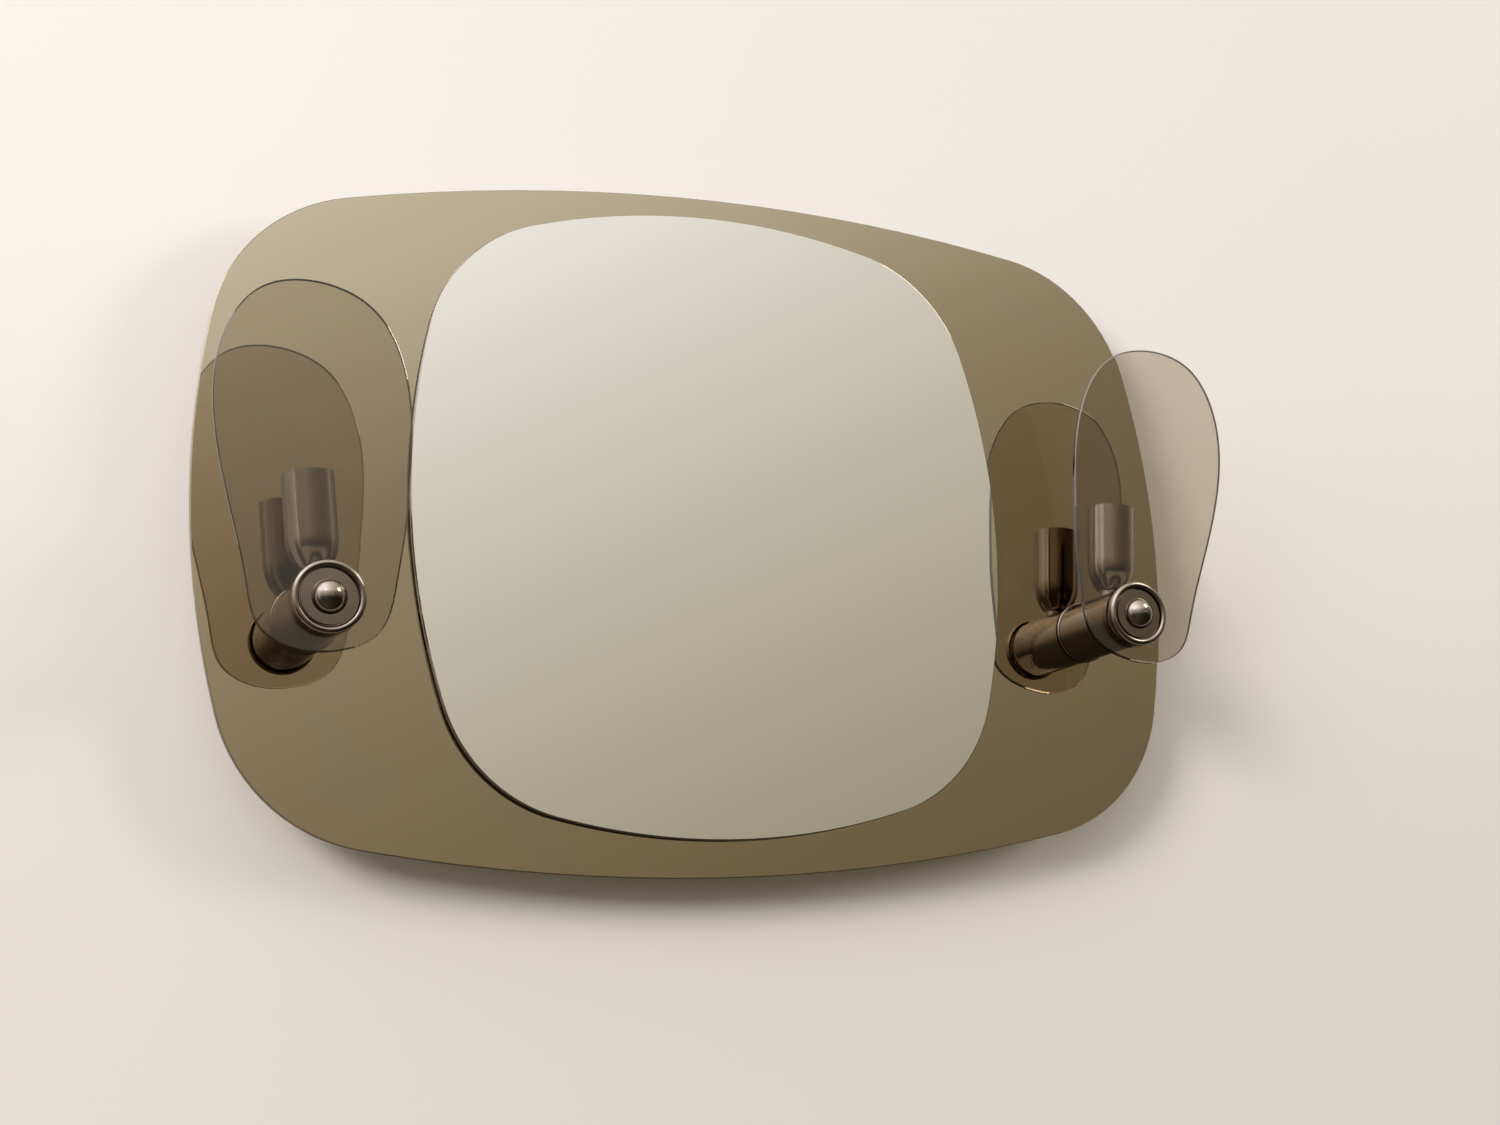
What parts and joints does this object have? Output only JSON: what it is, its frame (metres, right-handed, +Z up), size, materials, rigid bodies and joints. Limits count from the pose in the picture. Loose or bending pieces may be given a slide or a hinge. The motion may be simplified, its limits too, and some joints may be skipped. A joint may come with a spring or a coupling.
{
  "type": "illuminated wall mirror",
  "caption": "Wall mirror: bronze-tinted panel with a clear mirror at its middle and a dark nickel sconce with an upright lamp cup and swivelling glass shade at each side.",
  "frame": {"origin": "on the wall plane, midway between the two hanging holes", "axes": "+X to the right as seen from the front, +Y into the wall, +Z up"},
  "size_m": [0.8211, 0.1346, 0.5398],
  "materials": {
    "dark_nickel": "polished dark nickel plate",
    "bronze_mirror": "bronze-tinted glass silvered on its back, polished edge",
    "silver_mirror": "clear glass silvered on its back, polished edge",
    "tinted_glass": "pale bronze clear glass, polished edge",
    "zinc_steel": "bright zinc plate",
    "clear_nylon": "natural nylon",
    "black_rubber": "moulded, matt",
    "porcelain": "white glaze",
    "brass": "bright pressed brass",
    "foam_tape": "double-sided foam tape",
    "fibreboard": "smooth brown hardboard",
    "pine": "planed pine",
    "felt": "grey felt",
    "white_plastic": "moulded, aged white",
    "block_plastic": "natural moulded",
    "lead_sleeve": "white sleeve"
  },
  "bodies": {
    "root": {"bronze_mirror_panel": "bronze_mirror", "centre_mirror": "silver_mirror", "centre_mirror_pads": "foam_tape", "panel_pads": "foam_tape", "backing_board": "fibreboard", "top_batten": "pine", "bottom_batten": "pine", "left_batten": "pine", "right_batten": "pine", "batten_screws": "zinc_steel", "left_hanger_plate": "zinc_steel", "right_hanger_plate": "zinc_steel", "hanger_screws": "zinc_steel", "felt_pads": "felt", "back_washers": "zinc_steel", "back_nuts": "zinc_steel", "cup_lock_nuts": "zinc_steel", "terminal_box": "white_plastic", "terminal_cover": "white_plastic", "box_screws": "zinc_steel", "terminal_block": "block_plastic", "cable_grommet": "black_rubber", "lead_clips": "white_plastic", "left_threaded_stud": "zinc_steel", "left_panel_bush": "clear_nylon", "left_rosette_gasket": "black_rubber", "left_base_rosette": "dark_nickel", "left_standoff_tube": "dark_nickel", "left_tube_end_disc": "dark_nickel", "left_cup_saddle": "dark_nickel", "left_cup_nipple": "zinc_steel", "left_lampholder_cup": "dark_nickel", "left_socket_body": "porcelain", "left_socket_shell": "brass", "left_socket_contact": "brass", "left_shade_bush": "clear_nylon", "left_front_washer": "clear_nylon", "left_lead": "lead_sleeve", "right_threaded_stud": "zinc_steel", "right_panel_bush": "clear_nylon", "right_rosette_gasket": "black_rubber", "right_base_rosette": "dark_nickel", "right_standoff_tube": "dark_nickel", "right_tube_end_disc": "dark_nickel", "right_cup_saddle": "dark_nickel", "right_cup_nipple": "zinc_steel", "right_lampholder_cup": "dark_nickel", "right_socket_body": "porcelain", "right_socket_shell": "brass", "right_socket_contact": "brass", "right_shade_bush": "clear_nylon", "right_front_washer": "clear_nylon", "right_lead": "lead_sleeve"},
    "left_shade": {"left_glass_shade": "tinted_glass"},
    "left_cap": {"left_front_cap": "dark_nickel"},
    "left_dome": {"left_dome_nut": "dark_nickel"},
    "right_shade": {"right_glass_shade": "tinted_glass"},
    "right_cap": {"right_front_cap": "dark_nickel"},
    "right_dome": {"right_dome_nut": "dark_nickel"}
  },
  "joints": [
    {"name": "left_shade_swivel", "type": "hinge", "parent": "root", "child": "left_shade", "pos_m": [-0.321, -0.11555, -0.274], "axis": [0, -1, 0], "continuous": true},
    {"name": "left_cap_travel", "type": "slide", "parent": "root", "child": "left_cap", "axis": [0, -1, 0], "range_m": [0, 0.003]},
    {"name": "left_dome_turn", "type": "hinge", "parent": "left_cap", "child": "left_dome", "pos_m": [-0.321, -0.129, -0.274], "axis": [0, -1, 0], "range_deg": [0, 1080]},
    {"name": "right_shade_swivel", "type": "hinge", "parent": "root", "child": "right_shade", "pos_m": [0.321, -0.11555, -0.274], "axis": [0, -1, 0], "continuous": true},
    {"name": "right_cap_travel", "type": "slide", "parent": "root", "child": "right_cap", "axis": [0, -1, 0], "range_m": [0, 0.003]},
    {"name": "right_dome_turn", "type": "hinge", "parent": "right_cap", "child": "right_dome", "pos_m": [0.321, -0.129, -0.274], "axis": [0, -1, 0], "range_deg": [0, 1080]}
  ],
  "couplings": [
    {"joint": "left_cap_travel", "follows": "left_dome_turn", "m_per_rad": 0.00015915},
    {"joint": "right_cap_travel", "follows": "right_dome_turn", "m_per_rad": 0.00015915}
  ]
}
